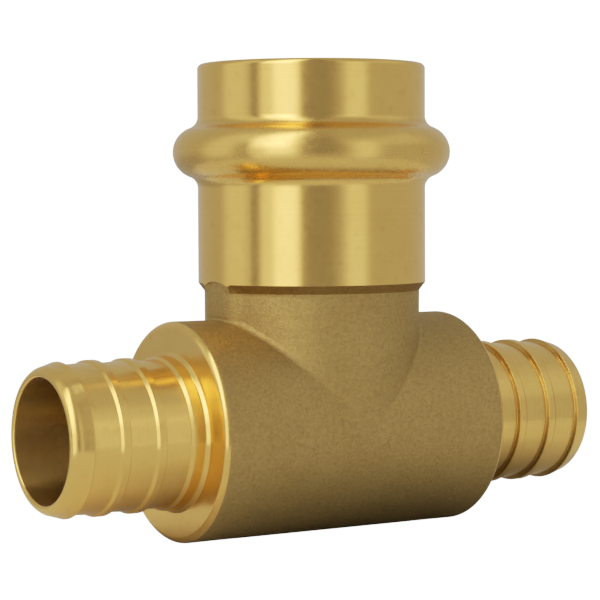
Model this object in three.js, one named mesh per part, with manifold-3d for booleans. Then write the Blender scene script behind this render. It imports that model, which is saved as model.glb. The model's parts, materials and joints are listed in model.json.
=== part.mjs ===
// Transition tee for water pipe, nominal 3/4 in.
//
// One cast brass body joins three ends. The branch, along +Z, is a machined press socket for copper
// tube: a smooth cup with a rolled bead, and an elastomer sealing ring in the groove inside the
// bead. Both ends of the run, along -X and +X, are machined insert barbs for plastic pipe, each with
// two square ribs and a round nose that is the third rib. A crimp ring closes the pipe on them.
// Millimetres, +Z up, with the origin where the axis of the run crosses the axis of the branch.

import * as THREE from 'three';
import { mergeVertices } from 'three/addons/utils/BufferGeometryUtils.js';
import Module from 'manifold-3d';

const wasm = await Module();
wasm.setup();

// ---- Driving dimensions ------------------------------------------------------------------------

// Whole tee
const runEnd = 35.42;            // from the branch axis to the nose of a barb
const shoulder = 19.05;          // from the branch axis to the machined face a crimp ring stops at
const rimHeight = 42.25;         // from the run axis to the rim of the socket

// Cast body and neck
const bodyRadius = 12.66;
const neckRadius = 12.62;
const shoulderChamfer = 0.5;
const chamberRadius = 9.8;       // cored chamber inside the body
const chamberEnd = 16.2;         // where the chamber starts to narrow to the barb's waterway
const chamberTaper = 1.6;        // length of that cone

// Insert barb
const barbBore = 7.05;
const barbRootRadius = 8.25;     // the valleys between the ribs
const ribRadius = 8.72;          // the crests of the ribs, and the foot of the barb
const ribPitch = 4.4;
const firstRib = 24.1;           // from the branch axis to the rib nearest the body
const ribWidth = 1.34;           // at its root
const ribBack = 0.12;            // length of its steep side, towards the body
const ribFront = 0.32;           // length of its sloping side, towards the nose
const footEnd = 21.15;           // where the foot of the barb drops to the first valley
const footRound = 0.4;           // in the corner between the foot and the shoulder
const noseFall = 1.34;           // length of the last rib's slope down to the nose
const noseRadius = 8.33;
const noseRound = 0.6;
const barbMouth = 0.3;           // chamfer inside the nose

// Press socket
const socketRadius = 13.35;
const socketBore = 11.2;         // clears a 22.2 mm copper tube
const tubeStop = 19.4;           // height of the ledge that the tube's end meets
const branchBore = 9.6;          // waterway below that ledge
const collarFoot = 15.7;         // where the machined socket starts, above the cast neck
const collarStep = 1.0;          // height of the slope from the neck out to the socket
const beadHeight = 31.93;        // of the bead's crest
const beadRadius = 16.28;
const beadRound = 3.05;          // radius of the bead's nose
const beadRoot = 1.4;            // radius of the hollow at each foot of the bead
const rimRound = 0.6;
const socketMouth = 0.2;         // chamfer inside the rim

// Groove and sealing ring
const grooveRadius = 14.4;
const grooveHalfWidth = 2.3;
const grooveCorner = 0.9;
const sealSection = 3.1;         // diameter of the ring's round section
const sealRadius = 12.6;         // from the branch axis to the middle of the section

// Flat left by the trimmed casting gate: proud of the neck, cut into the socket's foot, facing -X
const gatePlane = 13.05;         // from the branch axis
const gateHalfWidth = 2.9;
const gateHeight = 10.95;        // of the middle of the round cut at its top
const gateRound = 6.1;           // radius of that cut
const gateFoot = 11;

// Mesh fineness
const turns = 40;                // facets round a turned surface, a multiple of 4
const arcSteps = 4;              // facets along a quarter of a small round

// ---- Helpers -----------------------------------------------------------------------------------

// Points on an arc about (cx, cy), both ends included. Angles are in degrees from the first axis.
function arc(cx, cy, radius, from, to, steps = arcSteps) {
  const points = [];
  for (let i = 0; i <= steps; i += 1) {
    const angle = THREE.MathUtils.degToRad(from + ((to - from) * i) / steps);
    points.push([cx + radius * Math.cos(angle), cy + radius * Math.sin(angle)]);
  }
  return points;
}

// A closed body turned about Z from a profile of [radius, height] points, given from the bottom up.
function turned(profile) {
  const outline = profile.map(([radius, height]) => new THREE.Vector2(radius, height));
  const geometry = new THREE.LatheGeometry(outline, turns);
  geometry.rotateX(Math.PI / 2);
  return geometry;
}

// The same body turned about X: what was height becomes distance along +X.
function turnedAboutX(profile) {
  return turned(profile).rotateY(Math.PI / 2);
}

function toManifold(geometry) {
  const bare = geometry.clone();
  bare.deleteAttribute('normal');
  bare.deleteAttribute('uv');
  const merged = mergeVertices(bare, 1e-4);
  const mesh = new wasm.Mesh({
    numProp: 3,
    vertProperties: new Float32Array(merged.attributes.position.array),
    triVerts: new Uint32Array(merged.index.array),
  });
  mesh.merge();
  return new wasm.Manifold(mesh);
}

function toGeometry(manifold) {
  const mesh = manifold.getMesh();
  const geometry = new THREE.BufferGeometry();
  geometry.setAttribute('position', new THREE.BufferAttribute(mesh.vertProperties, 3));
  geometry.setIndex(new THREE.BufferAttribute(mesh.triVerts, 1));
  geometry.computeVertexNormals();
  return geometry;
}

// ---- The run: body and two barbs, turned about X ------------------------------------------------

// Outline of one half of the run, from the body out to the nose, as [radius, distance]. The last rib
// is the nose itself: a steep side towards the body, and a slope that runs out into the nose's round.
function halfRun() {
  const points = [
    [bodyRadius, shoulder - shoulderChamfer],
    [bodyRadius - shoulderChamfer, shoulder],
    [ribRadius + footRound, shoulder],
    [ribRadius, shoulder + footRound],
    [ribRadius, footEnd - ribFront],
    [barbRootRadius, footEnd],
  ];
  for (const rib of [firstRib, firstRib + ribPitch]) {
    points.push(
      [barbRootRadius, rib],
      [ribRadius, rib + ribBack],
      [ribRadius, rib + ribWidth - ribFront],
      [barbRootRadius, rib + ribWidth],
    );
  }
  const lastRib = firstRib + 2 * ribPitch;
  points.push(
    [barbRootRadius, lastRib],
    [ribRadius, lastRib + ribBack],
    [noseRadius, lastRib + ribBack + noseFall],
    ...arc(noseRadius - noseRound, runEnd - noseRound, noseRound, 0, 90),
  );
  return points;
}

function runSolid() {
  const half = halfRun();
  const mirrored = half.map(([radius, x]) => [radius, -x]).reverse();
  return turnedAboutX([[0, -runEnd], ...mirrored, ...half, [0, runEnd]]);
}

// Waterway of the run: straight in the barbs, and wider in the body. It runs past both noses.
function runWaterway() {
  const past = 1;
  const half = [
    [chamberRadius, chamberEnd],
    [barbBore, chamberEnd + chamberTaper],
    [barbBore, runEnd - barbMouth],
    [barbBore + barbMouth + past, runEnd + past],
  ];
  const mirrored = half.map(([radius, x]) => [radius, -x]).reverse();
  return turnedAboutX([[0, -runEnd - past], ...mirrored, ...half, [0, runEnd + past]]);
}

// ---- The branch: neck and press socket, turned about Z ------------------------------------------

// Outline of the bead: a round nose between two hollow roots, each tangent to the socket wall.
function beadOutline() {
  const noseCentre = beadRadius - beadRound;
  const rootCentre = socketRadius + beadRoot;
  const sine = (rootCentre - noseCentre) / (beadRound + beadRoot);
  const slope = THREE.MathUtils.radToDeg(Math.asin(sine));
  const halfWidth = (beadRound + beadRoot) * Math.sqrt(1 - sine * sine);
  const lowerRoot = arc(rootCentre, beadHeight - halfWidth, beadRoot, 180, 90 + slope);
  const nose = arc(noseCentre, beadHeight, beadRound, -90 + slope, 90 - slope, 2 * arcSteps + 2);
  const upperRoot = arc(rootCentre, beadHeight + halfWidth, beadRoot, 270 - slope, 180);
  return [...lowerRoot, ...nose, ...upperRoot];
}

function branchSolid() {
  return turned([
    [0, 0],
    [neckRadius, 0],
    [neckRadius, collarFoot],
    [socketRadius - 0.15, collarFoot + collarStep - 0.2],
    [socketRadius, collarFoot + collarStep + 0.3],
    ...beadOutline(),
    ...arc(socketRadius - rimRound, rimHeight - rimRound, rimRound, 0, 90),
    [0, rimHeight],
  ]);
}

// The hollow of the socket, with the seal's groove and the waterway below the tube stop.
function socketCavity() {
  const past = 1;
  const low = beadHeight - grooveHalfWidth;
  const high = beadHeight + grooveHalfWidth;
  return turned([
    [0, 0],
    [branchBore, 0],
    [branchBore, tubeStop],
    [socketBore, tubeStop],
    [socketBore, low],
    ...arc(grooveRadius - grooveCorner, low + grooveCorner, grooveCorner, -90, 0),
    ...arc(grooveRadius - grooveCorner, high - grooveCorner, grooveCorner, 0, 90),
    [socketBore, high],
    [socketBore, rimHeight - socketMouth],
    [socketBore + socketMouth + past, rimHeight + past],
    [0, rimHeight + past],
  ]);
}

// The gate's stub, which fills the corner between the neck and the socket's foot.
function gatePad() {
  const depth = gatePlane - neckRadius / 2;
  const height = collarFoot + collarStep - gateFoot;
  const pad = new THREE.BoxGeometry(depth, 2 * gateHalfWidth, height);
  return pad.translate(depth / 2 - gatePlane, 0, gateFoot + height / 2);
}

// The round-topped cut that leaves the stub, and the socket's foot above it, flat.
function gateCut() {
  const depth = 2;
  const disc = new THREE.CylinderGeometry(gateRound, gateRound, depth, turns);
  return disc.rotateZ(Math.PI / 2).translate(-gatePlane - depth / 2, 0, gateHeight);
}

// ---- Pieces ------------------------------------------------------------------------------------

const castBrass = new THREE.MeshStandardMaterial({
  name: 'cast_brass', color: 0xb29150, roughness: 0.45, metalness: 1,
});
const sealRubber = new THREE.MeshStandardMaterial({
  name: 'seal_rubber', color: 0x16181a, roughness: 0.7, metalness: 0,
});

function teeCasting() {
  const branch = toManifold(branchSolid()).add(toManifold(gatePad())).subtract(toManifold(gateCut()));
  const outside = toManifold(runSolid()).add(branch);
  const inside = toManifold(runWaterway()).add(toManifold(socketCavity()));
  const mesh = new THREE.Mesh(toGeometry(outside.subtract(inside)), castBrass);
  mesh.name = 'tee_casting';
  return mesh;
}

// A plain ring of round section, lying loose in its groove until the socket is pressed.
function pressSealRing() {
  const section = arc(sealRadius, 0, sealSection / 2, -180, 180, 3 * arcSteps);
  const mesh = new THREE.Mesh(turned(section), sealRubber);
  mesh.name = 'press_seal_ring';
  mesh.position.z = beadHeight;
  return mesh;
}

const tee = new THREE.Group();
tee.name = 'press_to_barb_tee';
tee.add(teeCasting(), pressSealRing());

export default tee;
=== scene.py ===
"""Press to barb transition tee: a cast brass body with a press socket and two insert barbs.

The casting is one closed mesh. Every line of it follows a ring round the run (the X axis) or round
the branch (the Z axis), and the two sets of rings share their points where the neck meets the body.
Lengths in this file are millimetres until to_metres.
"""

import json
import math

import bpy
import numpy as np
from mathutils import Matrix, Vector


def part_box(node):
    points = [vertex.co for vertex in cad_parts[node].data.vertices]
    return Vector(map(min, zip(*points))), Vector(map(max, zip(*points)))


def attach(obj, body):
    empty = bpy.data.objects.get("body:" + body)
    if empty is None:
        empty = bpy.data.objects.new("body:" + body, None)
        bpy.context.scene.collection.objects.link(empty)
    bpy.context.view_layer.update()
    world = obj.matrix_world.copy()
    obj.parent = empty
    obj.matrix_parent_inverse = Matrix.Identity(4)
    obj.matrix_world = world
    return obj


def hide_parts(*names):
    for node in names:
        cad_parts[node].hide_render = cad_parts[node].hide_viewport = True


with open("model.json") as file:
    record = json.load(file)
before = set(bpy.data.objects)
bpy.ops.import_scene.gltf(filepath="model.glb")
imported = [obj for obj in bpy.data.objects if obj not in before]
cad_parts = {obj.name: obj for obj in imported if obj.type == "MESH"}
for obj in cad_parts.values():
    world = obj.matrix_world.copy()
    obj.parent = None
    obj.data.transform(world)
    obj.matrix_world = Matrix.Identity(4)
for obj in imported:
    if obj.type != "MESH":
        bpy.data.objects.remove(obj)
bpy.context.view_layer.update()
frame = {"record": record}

MM = 0.001

# ---- Places taken from the frame ---------------------------------------------------------------

casting_low, casting_high = (np.array(corner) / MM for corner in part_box("tee_casting"))
seal_low, seal_high = (np.array(corner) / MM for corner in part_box("press_seal_ring"))

mount_places = {mount["name"]: mount["pos_m"] for mount in frame["record"]["mounts"]}

RUN_END = casting_high[0]
RIM = casting_high[2]
BODY_R = -casting_low[2] - 0.03     # a hair inside the model's box, as the bead is
BEAD_R = casting_high[1] - 0.01
BEAD_Z = (seal_low[2] + seal_high[2]) / 2
SHOULDER = 1000 * mount_places["crimp_shoulder_right"][0]

# ---- Driving dimensions ------------------------------------------------------------------------

# Cast body and neck
BODY_END = SHOULDER - 0.95     # where the crossing of body and neck hands over to the barbs' lines
CHAMFER_ALONG = 0.52           # of the chamfer round each shoulder
CHAMFER_ACROSS = 0.46
FILLET = 0.8                   # radius in the corner between the neck and the body
NECK_TOP = 15.75               # where the cast neck ends and the turned socket begins
GATE_PLANE = 13.05             # the trimmed gate's flat, from the branch axis
GATE_HALF = 2.75
GATE_FOOT = 11.6
GATE_CENTRE = 10.95            # height and radius of the flat's round top
GATE_ROUND = 6.1

# Chamber inside the body
CHAMBER_R = 9.7
CHAMBER_FILLET = 0.4
CHAMBER_END = 15.8             # from the branch axis, where it meets the barbs' lines
CHAMBER_TOP = 15.0             # where it meets the socket's lines
TAPER_START = 16.4             # the cone from the chamber to the barb's waterway
TAPER_END = 18.2

# Insert barb: radii, distances from the branch axis, and lengths along the barb
BARB_BORE = 7.05
CREST_R = 8.74                 # of the foot and the ribs
SLOPE_R = 8.46                 # at the bottom of a sloping side
VALLEY_R = 8.30                # at the bottom of a steep side
FOOT_CONE_R = 9.12             # of the cone between the shoulder and the foot, at the shoulder
FOOT_CONE = 0.42
FOOT_END = 21.15
FOOT_FRONT = 0.40
FIRST_RIB = 24.10
RIB_PITCH = 4.40
RIB_WIDTH = 1.34
RIB_BACK = 0.12                # the steep side, towards the body
RIB_FRONT = 0.32               # the sloping side, towards the nose
NOSE = ((8.36, 1.20, 1.5), (8.22, 0.62, 1.2), (7.72, 0.0, 0.60))   # radius, from the end, round

# Press socket
FOOT_SLOPE = 0.95              # height of the slope under the socket's foot
SOCKET_R = 13.35
SOCKET_BORE = 11.2
WALL_START = 18.3              # above the foot, where the wall's rings are level again
BEAD_NOSE = 3.05               # radius of the bead's round nose
BEAD_ROOT = 1.4                # radius of the hollow on either side of it
BEAD_HALF = 4.2                # half the height of the bead with its hollows
RIM_ROUND = 0.62
MOUTH_ACROSS = 0.35            # of the chamfer inside the rim
MOUTH_ALONG = 0.45
TUBE_STOP = 19.4
GROOVE_R = 14.4
GROOVE_HALF = 2.3
GROOVE_CORNER = 0.9
SEAL_R = 12.6
SEAL_SECTION = 3.1

# Mesh fineness
QUARTER = 60                   # lines in a quarter turn
AROUND = 4 * QUARTER
ROOT_STEPS = 12                # along each hollow of the bead
NOSE_STEPS = 36                # along its nose
SEAL_STEPS = 36                # round the seal's section
FILLET_PASSES = 12

# ---- Small helpers -----------------------------------------------------------------------------

turn_angles = np.arange(AROUND) * math.tau / AROUND


def smooth_step(low, high, value):
    t = np.clip((value - low) / (high - low), 0.0, 1.0)
    return t * t * (3 - 2 * t)


def ring_about_x(radius, x):
    """Points round the run, starting at the top and turning towards +Y."""
    y = radius * np.sin(turn_angles)
    z = radius * np.cos(turn_angles)
    return np.stack([np.broadcast_to(x, y.shape), y, z], axis=-1)


def ring_about_z(radius, z):
    """Points round the branch, starting on the -X side and turning towards +Y."""
    x = -radius * np.cos(turn_angles)
    y = radius * np.sin(turn_angles)
    return np.stack([x, y, np.broadcast_to(z, x.shape)], axis=-1)


def rounded(corners, step=0.6, support=0.06):
    """A line of [radius, along] points, through [radius, along, round] corners.

    Long straights get a point every step, and one close to each end so that they shade flat."""
    points = [np.array(corners[0][:2], float)]
    for before, corner, after in zip(corners, corners[1:], corners[2:]):
        here = np.array(corner[:2], float)
        into = here - np.array(before[:2], float)
        out = np.array(after[:2], float) - here
        into_dir = into / np.linalg.norm(into)
        out_dir = out / np.linalg.norm(out)
        turn = math.acos(np.clip(into_dir @ out_dir, -1, 1))
        radius = corner[2]
        if turn < 1e-3 or radius <= 0:
            points.append(here)
            continue
        cut = radius * math.tan(turn / 2)
        start = here - cut * into_dir
        side = 1 if into_dir[0] * out_dir[1] - into_dir[1] * out_dir[0] > 0 else -1
        normal = side * np.array([-into_dir[1], into_dir[0]])
        centre = start + radius * normal
        steps = max(3, math.ceil(turn / math.radians(12)))
        for i in range(steps + 1):
            angle = side * turn * i / steps
            c, s = math.cos(angle), math.sin(angle)
            arm = start - centre
            points.append(centre + np.array([c * arm[0] - s * arm[1], s * arm[0] + c * arm[1]]))
    points.append(np.array(corners[-1][:2], float))
    line = [points[0]]
    for a, b in zip(points, points[1:]):
        length = np.linalg.norm(b - a)
        if length < 1e-6:
            continue
        if length > 3 * support:
            inner = np.linspace(support, length - support, max(2, math.ceil(length / step)))
            line.extend(a + (b - a) * t / length for t in inner)
        line.append(b)
    return np.array(line)


class Shell:
    """Collects grids of quads that share points along their edges, and makes one mesh of them."""

    def __init__(self):
        self.blocks = []
        self.quads = []
        self.kinds = []
        self.count = 0

    def grid(self, rings, kind, inward=False):
        """rings is [along, around, 3], closed round. kind is a number, or one per quad."""
        along, around = rings.shape[:2]
        index = self.count + np.arange(along * around).reshape(along, around)
        following = np.roll(index, -1, axis=1)
        quads = np.stack([index[:-1], index[1:], following[1:], following[:-1]], axis=-1)
        if inward:
            quads = quads[..., ::-1]
        self.blocks.append(rings.reshape(-1, 3))
        self.quads.append(quads.reshape(-1, 4))
        self.kinds.append(np.broadcast_to(kind, (along - 1, around)).ravel())
        self.count += along * around

    def mesh(self, name, materials):
        points = np.concatenate(self.blocks)
        quads = np.concatenate(self.quads)
        kinds = np.concatenate(self.kinds)
        keys = np.round(points / 1e-4).astype(np.int64)
        _, first, which = np.unique(keys, axis=0, return_index=True, return_inverse=True)
        quads = which.reshape(-1)[quads]
        mesh = bpy.data.meshes.new(name)
        mesh.from_pydata((points[first] * MM).tolist(), [], quads.tolist())
        for material in materials:
            mesh.materials.append(material)
        mesh.polygons.foreach_set("material_index", kinds.astype(np.int32))
        mesh.polygons.foreach_set("use_smooth", np.ones(len(quads), bool))
        mesh.validate()
        mesh.update()
        return mesh


def make_object(name, mesh):
    obj = bpy.data.objects.new(name, mesh)
    bpy.context.scene.collection.objects.link(obj)
    return obj


# ---- Where the branch meets the run ------------------------------------------------------------


def fillet_onto(points, radius, fillet):
    """Moves points near the corner of two equal crossing pipes onto a rolling-ball round."""
    p = points.copy()
    for _ in range(FILLET_PASSES):
        across = np.hypot(p[..., 1], p[..., 2])
        about = np.hypot(p[..., 0], p[..., 1])
        zero = np.zeros_like(across)
        n1 = np.stack([zero, p[..., 1] / across, p[..., 2] / across], axis=-1)
        n2 = np.stack([p[..., 0] / about, p[..., 1] / about, zero], axis=-1)
        a = across - radius - fillet
        b = about - radius - fillet
        cos = (n1 * n2).sum(-1)
        sin2 = np.maximum(1 - cos * cos, 1e-5)
        alpha = -(a - b * cos) / sin2
        beta = -(b - a * cos) / sin2
        size = np.sqrt(np.maximum(alpha**2 + beta**2 + 2 * alpha * beta * cos, 1e-12))
        in_round = (alpha > 0) & (beta > 0) & (p[..., 2] > 0) & (1 - cos * cos > 1e-4)
        away = (alpha[..., None] * n1 + beta[..., None] * n2) / size[..., None]
        move = np.where(in_round, size - fillet, 0.0)
        p = p + move[..., None] * away
    return p


def spaced_from_corner(length, fine_length, fine_cells, coarse_cells):
    """Shares along a line of each length, close together near its end at the corner."""
    fine = fine_length * np.arange(fine_cells) / fine_cells
    rest = (length[None, :] - fine_length) * (np.arange(coarse_cells + 1) / coarse_cells)[:, None]
    return np.concatenate([np.repeat(fine[:, None], len(length), 1), fine_length + rest])


def crossing(shell, radius, left, right, top, fillet, kind, inward, shape=lambda p: p):
    """The pipe along X from left to right, with the pipe up to top growing out of it."""
    reach = np.maximum(radius * np.cos(turn_angles), 0.0)
    fine_length, fine_cells, coarse_cells = 1.75 * fillet, 18, 10
    for end, sign in ((left, -1), (right, 1)):
        away = spaced_from_corner(abs(end) - reach, fine_length, fine_cells, coarse_cells)
        x = sign * (reach[None, :] + away)
        rings = np.stack([ring_about_x(radius, row) for row in x])
        rings = shape(fillet_onto(rings, radius, fillet))
        shell.grid(rings if sign > 0 else rings[::-1], kind, inward)
    crease = np.abs(radius * np.cos(turn_angles))
    up = crease[None, :] + spaced_from_corner(top - crease, fine_length, fine_cells, coarse_cells)
    rings = np.stack([ring_about_z(radius, row) for row in up])
    shell.grid(shape(fillet_onto(rings, radius, fillet)), kind, inward)


# ---- The casting -------------------------------------------------------------------------------

# Which of the casting's materials a face has. The corner one is a darker cast skin: painted shade under
# the socket's foot.
CAST, TURNED_RUN, TURNED_BRANCH, PAINTED_SHADE_CORNER, DRILLED_PAINTED_SHADE, ROLLED = range(6)


def skin(points):
    """Shallow unevenness of a sand-cast skin, and the flat left by the trimmed gate."""
    p = points.copy()
    x, y, z = p[..., 0], p[..., 1], p[..., 2]
    wave = (
        np.sin(0.71 * x + 0.4) * np.sin(0.53 * y - 1.1)
        + np.sin(0.37 * z + 0.29 * x) * np.sin(0.61 * y + 0.8)
        + 0.5 * np.sin(1.3 * x + 0.9 * z)
    )
    inside = smooth_step(BODY_END, BODY_END - 3, np.abs(x))
    inside = inside * smooth_step(NECK_TOP, NECK_TOP - 2, z)
    dip = -0.012 * (1 + wave / 2.5) * inside
    across = np.hypot(y, z)
    about = np.hypot(x, y)
    on_neck = smooth_step(-0.5, 0.5, across - about)
    p[..., 0] += dip * on_neck * x / about
    p[..., 1] += dip * (on_neck * y / about + (1 - on_neck) * y / across)
    p[..., 2] += dip * (1 - on_neck) * z / across
    at_gate = (x < 0) & (about < BODY_R + 1)
    weight = gate_on_neck(y) * at_gate * smooth_step(GATE_FOOT, GATE_FOOT + 1.5, z)
    p[..., 0] += weight * (-GATE_PLANE - x)
    return p


def gate_on_neck(y):
    """Share of the gate's flat in the neck, whose sides run out smoothly into the round."""
    return 1 - smooth_step(1.2, 4.6, np.abs(y))


def gate_on_socket(y):
    """Share of the gate's flat in the socket's foot, which it cuts sharply."""
    return 1 - smooth_step(GATE_HALF - 0.25, GATE_HALF + 0.25, np.abs(y))


def barb_corners():
    """The right barb as [radius, along, round]: from the body's chamfer to the waterway's mouth."""
    corners = [
        [BODY_R, BODY_END, 0],
        [BODY_R, SHOULDER - CHAMFER_ALONG, 0.8],
        [BODY_R - CHAMFER_ACROSS, SHOULDER, 0.55],
        [FOOT_CONE_R, SHOULDER, 0.15],
        [CREST_R, SHOULDER + FOOT_CONE, 0.25],
        [CREST_R, FOOT_END - FOOT_FRONT, 0.10],
        [SLOPE_R, FOOT_END, 0.10],
    ]
    for rib in (FIRST_RIB, FIRST_RIB + RIB_PITCH):
        corners += [
            [VALLEY_R, rib, 0.08],
            [CREST_R, rib + RIB_BACK, 0.10],
            [CREST_R, rib + RIB_WIDTH - RIB_FRONT, 0.08],
            [SLOPE_R, rib + RIB_WIDTH, 0.08],
        ]
    last_rib = FIRST_RIB + 2 * RIB_PITCH
    corners += [[VALLEY_R, last_rib, 0.08], [CREST_R, last_rib + RIB_BACK, 0.10]]
    corners += [[radius, RUN_END - back, turn] for radius, back, turn in NOSE]
    return corners + [[BARB_BORE, RUN_END, 0.28]]


def barb_inside():
    """The barb's waterway, from its mouth back to the chamber in the body."""
    return [
        [BARB_BORE, TAPER_END, 0.4],
        [CHAMBER_R, TAPER_START, 0.4],
        [CHAMBER_R, CHAMBER_END, 0],
    ]


def add_barb(shell, side):
    """The barb at +X or -X. The steep sides of its ribs and its waterway have a coarser finish, and a
    darker tint that is painted shade.
    """
    line = rounded(barb_corners() + barb_inside())
    rings = np.stack([ring_about_x(radius, side * along) for radius, along in line])
    radius, along = line[:-1].T
    rise, run = np.diff(line, axis=0).T
    steep = (rise > 1.2 * np.abs(run)) & (along > FIRST_RIB - 0.1)
    kinds = np.where(steep | (radius < BARB_BORE + 0.02), DRILLED_PAINTED_SHADE, TURNED_RUN)
    kinds = np.where(along < SHOULDER - CHAMFER_ALONG - 0.1, CAST, kinds)[:, None]
    shell.grid(rings if side > 0 else rings[::-1], kinds if side > 0 else kinds[::-1])


def bead_corners():
    """Points along the bead: a round nose and a hollow root on either side of it."""
    nose_centre = BEAD_R - BEAD_NOSE
    root_centre = SOCKET_R + BEAD_ROOT
    half = math.sqrt((BEAD_NOSE + BEAD_ROOT) ** 2 - (root_centre - nose_centre) ** 2)
    slope = math.atan2(root_centre - nose_centre, half)
    quarter = math.pi / 2

    def on_arc(centre, height, radius, angle):
        return [centre + radius * math.cos(angle), BEAD_Z + height + radius * math.sin(angle), 0]

    points = []
    for i in range(ROOT_STEPS + 1):
        angle = math.pi - (quarter - slope) * i / ROOT_STEPS
        points.append(on_arc(root_centre, -half, BEAD_ROOT, angle))
    for i in range(1, NOSE_STEPS):
        angle = slope - quarter + 2 * (quarter - slope) * i / NOSE_STEPS
        points.append(on_arc(nose_centre, 0.0, BEAD_NOSE, angle))
    for i in range(ROOT_STEPS + 1):
        angle = 3 * quarter - slope - (quarter - slope) * i / ROOT_STEPS
        points.append(on_arc(root_centre, half, BEAD_ROOT, angle))
    return points


def socket_foot():
    """Rings up the slope from the neck to the socket, cut by the gate's flat, and each one's share.

    At the gate they climb the flat up to its round top, step out to the wall, and go a little on."""
    flat_share, step_share, turned_above = 0.7, 0.8, 0.06
    foot_top = NECK_TOP + FOOT_SLOPE
    slope = [[BODY_R, NECK_TOP, 0], [SOCKET_R, foot_top, 0.12], [SOCKET_R, foot_top + 0.3, 0]]
    plain = rounded(slope, 0.12)
    shares = np.linspace(0, 1, len(plain))
    rings = []
    for (radius, z), share in zip(plain, shares):
        ring = ring_about_z(radius, z)
        y = ring[:, 1]
        flat_top = GATE_CENTRE + np.sqrt(np.maximum(GATE_ROUND**2 - y**2, 0.5))
        wall = -np.sqrt(np.maximum(SOCKET_R**2 - y**2, 0))
        gate_x = -GATE_PLANE + (wall + GATE_PLANE) * smooth_step(flat_share, step_share, share)
        gate_z = NECK_TOP + (flat_top - NECK_TOP) * min(share / flat_share, 1.0)
        gate_z = gate_z + turned_above * smooth_step(step_share, 1.0, share)
        soft, sharp = gate_on_neck(y), gate_on_socket(y)
        weight = (soft + (sharp - soft) * smooth_step(0.0, 0.5, share)) * (ring[:, 0] < 0)
        ring[:, 0] += weight * (gate_x - ring[:, 0])
        ring[:, 2] += weight * (gate_z - ring[:, 2])
        rings.append(ring)
    return rings, shares


def add_socket(shell):
    """The turned socket, from its foot on the neck, over the bead and the rim, and down inside."""
    rings, shares = socket_foot()
    in_gate = (gate_on_socket(rings[0][:, 1]) > 0.5) & (rings[0][:, 0] < 0)
    below_edge = shares[:-1, None] < 0.72
    # Outside the gate, the slope under the foot takes the darker cast skin, which is painted shade.
    kinds = np.where(below_edge, np.where(in_gate, CAST, PAINTED_SHADE_CORNER)[None, :], TURNED_BRANCH)
    shell.grid(np.stack(rings), kinds)

    lift = np.linspace(0, 1, 8)[:, None]
    foot = rings[-1][:, 2][None, :]
    wall = [ring_about_z(SOCKET_R, row) for row in foot + (WALL_START - foot) * lift]
    shell.grid(np.stack(wall), TURNED_BRANCH)

    low, high = BEAD_Z - GROOVE_HALF, BEAD_Z + GROOVE_HALF
    line = rounded([
        [SOCKET_R, WALL_START, 0],
        *bead_corners(),
        [SOCKET_R, RIM, RIM_ROUND],
        [SOCKET_BORE + MOUTH_ACROSS, RIM, 0.1],
        [SOCKET_BORE, RIM - MOUTH_ALONG, 0.1],
        [SOCKET_BORE, high, 0.25],
        [GROOVE_R, high, GROOVE_CORNER],
        [GROOVE_R, low, GROOVE_CORNER],
        [SOCKET_BORE, low, 0.25],
        [SOCKET_BORE, TUBE_STOP, 0.15],
        [CHAMBER_R, TUBE_STOP, 0.25],
        [CHAMBER_R, CHAMBER_TOP, 0],
    ])
    on_bead = (line[:-1, 0] > SOCKET_R + 0.15) & (np.abs(line[:-1, 1] - BEAD_Z) < BEAD_HALF)
    kinds = np.where(on_bead, ROLLED, TURNED_BRANCH)[:, None]
    shell.grid(np.stack([ring_about_z(radius, z) for radius, z in line]), kinds)


def make_casting(materials):
    shell = Shell()
    crossing(shell, BODY_R, -BODY_END, BODY_END, NECK_TOP, FILLET, CAST, False, skin)
    crossing(shell, CHAMBER_R, -CHAMBER_END, CHAMBER_END, CHAMBER_TOP, CHAMBER_FILLET, CAST, True)
    add_barb(shell, -1)
    add_barb(shell, 1)
    add_socket(shell)
    return make_object("tee_casting_body", shell.mesh("tee_casting_body", materials))


def make_seal(material):
    shell = Shell()
    rings = []
    for i in range(SEAL_STEPS + 1):
        angle = math.tau * i / SEAL_STEPS
        radius = SEAL_R + SEAL_SECTION / 2 * math.cos(angle)
        rings.append(ring_about_z(radius, BEAD_Z + SEAL_SECTION / 2 * math.sin(angle)))
    shell.grid(np.stack(rings), 0)
    return make_object("sealing_ring", shell.mesh("sealing_ring", [material]))


# ---- Materials ---------------------------------------------------------------------------------

BRASS = (0.88, 0.582, 0.172)
BRASS_PALE = (0.92, 0.616, 0.195)
BRASS_BLOTCH = (0.77, 0.498, 0.135)
BRASS_LINE = (0.81, 0.520, 0.142)      # in the bottom of a tool line


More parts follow.
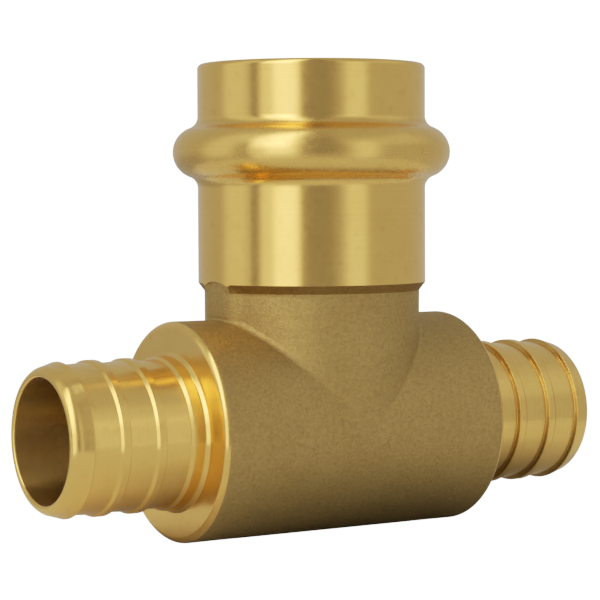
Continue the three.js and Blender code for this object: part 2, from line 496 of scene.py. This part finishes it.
class Nodes:
    """A material's node tree, with short calls to add and join nodes."""

    def __init__(self, name):
        self.material = bpy.data.materials.new(name)
        self.material.use_nodes = True
        self.tree = self.material.node_tree
        self.shader = self.tree.nodes["Principled BSDF"]

    def add(self, kind, **settings):
        node = self.tree.nodes.new(kind)
        for key, value in settings.items():
            setattr(node, key, value)
        return node

    def join(self, output, socket):
        self.tree.links.new(output, socket)

    def math(self, operation, first, second=None):
        node = self.add("ShaderNodeMath", operation=operation)
        for socket, value in zip(node.inputs, (first, second)):
            if value is None:
                continue
            if isinstance(value, (int, float)):
                socket.default_value = value
            else:
                self.join(value, socket)
        return node.outputs[0]

    def millimetres(self):
        place = self.add("ShaderNodeTexCoord").outputs["Object"]
        scale = self.add("ShaderNodeVectorMath", operation="SCALE")
        scale.inputs["Scale"].default_value = 1000
        self.join(place, scale.inputs[0])
        return scale.outputs[0]

    def noise(self, place, scale, detail=2.0, roughness=0.5, dimensions="3D"):
        node = self.add("ShaderNodeTexNoise", noise_dimensions=dimensions)
        node.inputs["Scale"].default_value = scale
        node.inputs["Detail"].default_value = detail
        node.inputs["Roughness"].default_value = roughness
        self.join(place, node.inputs["W" if dimensions == "1D" else "Vector"])
        return node.outputs["Fac"]

    def remap(self, value, low, high, from_low=0.3, from_high=0.7):
        node = self.add("ShaderNodeMapRange")
        node.inputs["From Min"].default_value = from_low
        node.inputs["From Max"].default_value = from_high
        node.inputs["To Min"].default_value = low
        node.inputs["To Max"].default_value = high
        self.join(value, node.inputs["Value"])
        return node.outputs["Result"]

    def blend(self, factor, first, second):
        node = self.add("ShaderNodeMix", data_type="RGBA")
        self.join(factor, node.inputs["Factor"])
        for socket, value in ((node.inputs[6], first), (node.inputs[7], second)):
            if isinstance(value, tuple):
                socket.default_value = (*value, 1)
            else:
                self.join(value, socket)
        return node.outputs[2]

    def bump(self, height, distance, under=None):
        node = self.add("ShaderNodeBump")
        node.inputs["Distance"].default_value = distance
        self.join(height, node.inputs["Height"])
        if under is not None:
            self.join(under, node.inputs["Normal"])
        return node.outputs["Normal"]


def scaled(share, color):
    return tuple(share * channel for channel in color)


def turned_brass(name, axis, smooth, rough, grooved=0.75, line_depth=3.0e-6, tone=1.0):
    """Satin brass off the lathe: fine tool lines round the axis, and a faint change of tint.

    The lines spread a reflection across themselves: along the axis on a wall, outwards on a face.
    smooth and rough are the range of roughness, grooved is how far the lines spread a reflection. tone
    scales the tint darker; on the drilled waterway that darkening is painted shade."""
    m = Nodes(name)
    place = m.millimetres()
    split = m.add("ShaderNodeSeparateXYZ")
    m.join(place, split.inputs[0])
    along = split.outputs["XYZ".index(axis)]
    first, second = (split.outputs["XYZ".index(letter)] for letter in "XYZ" if letter != axis)
    squares = m.math("ADD", m.math("MULTIPLY", first, first), m.math("MULTIPLY", second, second))
    radius = m.math("SQRT", squares)
    path = m.math("ADD", along, m.math("MULTIPLY", radius, 1.3))

    across = m.add("ShaderNodeCombineXYZ")
    for letter, output, socket in zip("XYZ", split.outputs, across.inputs):
        if letter == axis:
            socket.default_value = 1.0
        else:
            m.join(m.math("MULTIPLY", output, 0.01), socket)
    m.join(across.outputs[0], m.shader.inputs["Tangent"])
    m.shader.inputs["Anisotropic"].default_value = grooved

    lines = m.noise(path, 5.5, 4.0, 0.7, "1D")
    coarse = m.noise(path, 1.1, 2.0, 0.5, "1D")
    cloud = m.noise(place, 0.22, 3.0)
    blotch = m.noise(place, 0.75, 3.0, 0.6)
    tint = m.blend(m.remap(cloud, 0, 1), scaled(tone, BRASS), scaled(tone, BRASS_PALE))
    tint = m.blend(m.remap(blotch, 0, 0.5, 0.55, 0.72), tint, scaled(tone, BRASS_BLOTCH))
    lined = m.blend(m.remap(lines, 0, 0.35, 0.35, 0.65), tint, scaled(tone, BRASS_LINE))
    m.join(lined, m.shader.inputs["Base Color"])
    m.shader.inputs["Metallic"].default_value = 1.0
    grain = m.noise(place, 1.6, 3.0)
    m.join(m.remap(grain, smooth, rough), m.shader.inputs["Roughness"])
    normal = m.bump(lines, line_depth)
    normal = m.bump(coarse, 2.0e-6, normal)
    m.join(normal, m.shader.inputs["Normal"])
    return m.material


def cast_brass(name, brown, yellow):
    """Shot-blasted casting skin: matt, finely pitted, with clouds from one tint to the other."""
    m = Nodes(name)
    place = m.millimetres()
    cloud = m.noise(place, 0.16, 3.0)
    mottle = m.noise(place, 1.1, 4.0, 0.65)
    grain = m.noise(place, 2.9, 3.0, 0.65)
    pits = m.noise(place, 6.5, 2.0, 0.6)
    tint = m.blend(m.remap(cloud, 0, 1), brown, yellow)
    speckle = m.blend(m.remap(grain, 0, 1, 0.36, 0.64), scaled(0.66, brown), scaled(1.30, yellow))
    speckled = m.blend(m.remap(mottle, 0.12, 0.45), tint, speckle)
    pitted = m.blend(m.remap(pits, 0, 0.5, 0.60, 0.75), speckled, scaled(0.4, brown))
    m.join(pitted, m.shader.inputs["Base Color"])
    m.shader.inputs["Metallic"].default_value = 1.0
    m.join(m.remap(mottle, 0.50, 0.62), m.shader.inputs["Roughness"])
    normal = m.bump(grain, 6.0e-5)
    normal = m.bump(pits, 2.5e-5, normal)
    m.join(normal, m.shader.inputs["Normal"])
    return m.material


def seal_rubber():
    """Moulded black elastomer with a thin film of grease."""
    m = Nodes("seal_elastomer")
    place = m.millimetres()
    film = m.noise(place, 0.8, 3.0)
    m.join(m.blend(film, (0.012, 0.012, 0.013), (0.028, 0.028, 0.030)), m.shader.inputs["Base Color"])
    m.join(m.remap(film, 0.32, 0.55), m.shader.inputs["Roughness"])
    m.join(m.bump(m.noise(place, 14.0, 2.0), 4.0e-6), m.shader.inputs["Normal"])
    return m.material


# ---- Camera ------------------------------------------------------------------------------------

CAMERA_AZIMUTH = 32.08    # degrees that the view is turned from along +Y towards +X
CAMERA_PITCH = -2.80
CAMERA_ROLL = -0.26
CAMERA_DISTANCE = 265.3   # from the origin, along the view
CAMERA_SIDE = -1.47       # of the camera from the origin, to the right of the view
CAMERA_UP = 14.52
LENS = 134.65


def view_axes():
    a, p, roll = (math.radians(angle) for angle in (CAMERA_AZIMUTH, CAMERA_PITCH, CAMERA_ROLL))
    forward = Vector((math.sin(a) * math.cos(p), math.cos(a) * math.cos(p), math.sin(p)))
    level = Vector((math.cos(a), -math.sin(a), 0))
    upright = level.cross(forward)
    right = math.cos(roll) * level + math.sin(roll) * upright
    return forward, right, right.cross(forward)


def make_camera():
    forward, right, up = view_axes()
    data = bpy.data.cameras.new("camera")
    data.lens = LENS
    data.clip_start = 0.01
    camera = bpy.data.objects.new("camera", data)
    place = -CAMERA_DISTANCE * forward + CAMERA_SIDE * right + CAMERA_UP * up
    turn = Matrix((right, up, -forward)).transposed().to_4x4()
    camera.matrix_world = Matrix.Translation(place * MM) @ turn
    bpy.context.scene.collection.objects.link(camera)
    bpy.context.scene.camera = camera


# ---- Studio ------------------------------------------------------------------------------------

PAPER_WHITE = 2.0         # light that comes out as pure white
BACKDROP_LEVEL = 1.1      # of the backdrop, as a share of that
FLOOR_HALF = 40.0         # metres
TABLE_R = 0.085           # metres
TABLE_DROP = 0.0002       # metres, of the table under the floor
TABLE_SIDES = 48

# Each light: level, (left, right, softness) in azimuth from the camera, (low, high, softness) in
# elevation, all in degrees. Azimuth grows to the right of the view. A flag has a level below zero.
ALL_ROUND = (-400, 400, 1)
STUDIO_LIGHTS = (
    (0.52, ALL_ROUND, ALL_ROUND),                      # the tent
    (0.32, (-98, -67, 16), (-16, 60, 20)),             # its left wall
    (-0.22, (-63, -56, 4), (-30, 60, 30)),             # a flag between that wall and the key
    (0.48, (-52, -11.5, 5), (-35, 90, 20)),            # the key box, tall and soft
    (0.78, (-38, -13, 8), (-14, 90, 16)),
    (1.30, (-52, -19, 8), (14, 80, 14)),               # its brighter upper part
    (1.10, (-62, -50, 5), (34, 80, 10)),
    (-0.20, (-8, 24, 16), (-16, 100, 14)),             # a flag round the camera
    (0.45, (34, 57, 12), (-30, 30, 20)),               # the fill on the right
    (0.16, (30, 120, 30), (20, 46, 12)),
    (-0.12, ALL_ROUND, (80, 400, 16)),                 # overhead
    (-0.14, (-400, -105, 16), (-400, -6, 12)),         # behind, low on the left
)

# The camera's response, as (light, tone)
TONE_CURVE = ((0.1, 0.1), (0.2, 0.2), (0.4, 0.39), (0.6, 0.53), (0.9, 0.68), (1.2, 0.79), (1.6, 0.91))
WHOLE_IMAGE = 3           # the tone curve of all three colours together


class WorldNodes(Nodes):
    """The same calls for the world's node tree."""

    def __init__(self):
        self.world = bpy.data.worlds.new("studio")
        self.world.use_nodes = True
        bpy.context.scene.world = self.world
        self.tree = self.world.node_tree
        self.background = self.tree.nodes["Background"]


def smooth_band(w, value, low, high, soft):
    """1 between low and high and 0 outside, with soft edges."""
    bands = []
    for edge, direction in ((low, 1), (high, -1)):
        node = w.add("ShaderNodeMapRange", interpolation_type="SMOOTHSTEP")
        node.inputs["From Min"].default_value = edge - direction * soft / 2
        node.inputs["From Max"].default_value = edge + direction * soft / 2
        w.join(value, node.inputs["Value"])
        bands.append(node.outputs["Result"])
    return w.math("MULTIPLY", *bands)


def make_studio():
    """A tent of soft light, with the boxes and flags of STUDIO_LIGHTS. The camera sees white paper."""
    w = WorldNodes()
    direction = w.add("ShaderNodeTexCoord").outputs["Generated"]
    forward, right, _ = view_axes()
    toward = -Vector((forward.x, forward.y, 0)).normalized()
    shares = []
    for axis in (right, toward):
        dot = w.add("ShaderNodeVectorMath", operation="DOT_PRODUCT")
        dot.inputs[1].default_value = axis
        w.join(direction, dot.inputs[0])
        shares.append(dot.outputs["Value"])
    split = w.add("ShaderNodeSeparateXYZ")
    w.join(direction, split.inputs[0])
    azimuth = w.math("MULTIPLY", w.math("ARCTAN2", *shares), math.degrees(1))
    elevation = w.math("MULTIPLY", w.math("ARCSINE", split.outputs["Z"]), math.degrees(1))

    total = None
    for level, sideways, upwards in STUDIO_LIGHTS:
        box = w.math("MULTIPLY", smooth_band(w, azimuth, *sideways), smooth_band(w, elevation, *upwards))
        light = w.math("MULTIPLY", box, level)
        total = light if total is None else w.math("ADD", total, light)
    w.background.inputs["Color"].default_value = (1.0, 0.985, 0.96, 1)
    seen = w.add("ShaderNodeLightPath").outputs["Is Camera Ray"]
    mix = w.add("ShaderNodeMix", data_type="FLOAT")
    w.join(seen, mix.inputs["Factor"])
    w.join(total, mix.inputs["A"])
    mix.inputs["B"].default_value = BACKDROP_LEVEL * PAPER_WHITE
    w.join(mix.outputs["Result"], w.background.inputs["Strength"])


def flat_sheet(name, outline, z, paper):
    """A matt sheet of one face, which isn't part of the object."""
    mesh = bpy.data.meshes.new(name)
    mesh.from_pydata([(x, y, z) for x, y in outline], [], [tuple(range(len(outline)))])
    paper.shader.inputs["Roughness"].default_value = 0.9
    paper.shader.inputs["Specular IOR Level"].default_value = 0.0
    mesh.materials.append(paper.material)
    sheet = make_object(name, mesh)
    return sheet


def make_floor():
    """A pale floor under the body, without an edge in view, which only the camera sees."""
    m = Nodes("pale_floor")
    m.shader.inputs["Base Color"].default_value = (0.12, 0.12, 0.12, 1)
    m.shader.inputs["Emission Color"].default_value = (1, 1, 1, 1)
    m.shader.inputs["Emission Strength"].default_value = PAPER_WHITE
    half = FLOOR_HALF
    outline = [(-half, -half), (half, -half), (half, half), (-half, half)]
    floor = flat_sheet("floor", outline, casting_low[2] * MM, m)
    for ray in ("diffuse", "glossy", "transmission", "shadow"):
        setattr(floor, "visible_" + ray, False)


def make_table():
    """The same floor as the brass sees it: pale, with a painted shadow of the tee darkening it near the
    body, and hidden from the camera.
    """
    m = Nodes("table_painted_shadow")
    # Painted shadow: the colour goes from dark round a spot under the tee, a little towards +X, to pale
    # further out.
    shadow = m.add("ShaderNodeVectorMath", operation="MULTIPLY_ADD")
    shadow.inputs[1].default_value = (0.7, 1, 1)
    shadow.inputs[2].default_value = (-6, 0, 0)
    m.join(m.millimetres(), shadow.inputs[0])
    away = m.add("ShaderNodeVectorMath", operation="LENGTH")
    m.join(shadow.outputs[0], away.inputs[0])
    shade = m.remap(away.outputs["Value"], 0, 1, 15, 31)
    m.join(m.blend(shade, (0.26, 0.26, 0.255), (0.90, 0.895, 0.88)), m.shader.inputs["Base Color"])
    angles = [math.tau * i / TABLE_SIDES for i in range(TABLE_SIDES)]
    outline = [(TABLE_R * math.cos(angle), TABLE_R * math.sin(angle)) for angle in angles]
    table = flat_sheet("table", outline, casting_low[2] * MM - TABLE_DROP, m)
    table.visible_camera = False


def expose():
    """A camera's soft shoulder: tones above mid grey are pressed together up to PAPER_WHITE."""
    view = bpy.context.scene.view_settings
    view.view_transform = "Standard"
    view.use_curve_mapping = True
    curves = view.curve_mapping
    curves.extend = "HORIZONTAL"
    curves.white_level = (PAPER_WHITE, PAPER_WHITE, PAPER_WHITE)
    for light, tone in TONE_CURVE:
        curves.curves[WHOLE_IMAGE].points.new(light / PAPER_WHITE, tone)
    curves.update()


# ---- Scene -------------------------------------------------------------------------------------

make_camera()

casting = make_casting([
    cast_brass("cast_brass_skin", (0.480, 0.325, 0.111), (0.510, 0.362, 0.131)),
    turned_brass("turned_brass_run", "X", 0.19, 0.25),
    turned_brass("turned_brass_branch", "Z", 0.18, 0.24),
    # A darker copy of the cast skin: painted shade on the slope under the socket's foot.
    cast_brass("cast_brass_painted_shade_under_foot", (0.30, 0.175, 0.045), (0.34, 0.205, 0.060)),
    # The darker tone is painted shade inside the waterway and on the ribs' steep sides. The roughness
    # and the spread lines are its coarser finish.
    turned_brass("drilled_brass_painted_shade", "X", 0.29, 0.34, grooved=0.95, tone=0.76),
    turned_brass("rolled_brass", "Z", 0.22, 0.29, grooved=0.5, line_depth=0.8e-6, tone=0.94),
])
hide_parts("tee_casting")
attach(casting, "root")

seal = make_seal(seal_rubber())
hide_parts("press_seal_ring")
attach(seal, "root")

make_studio()
make_floor()
make_table()
expose()
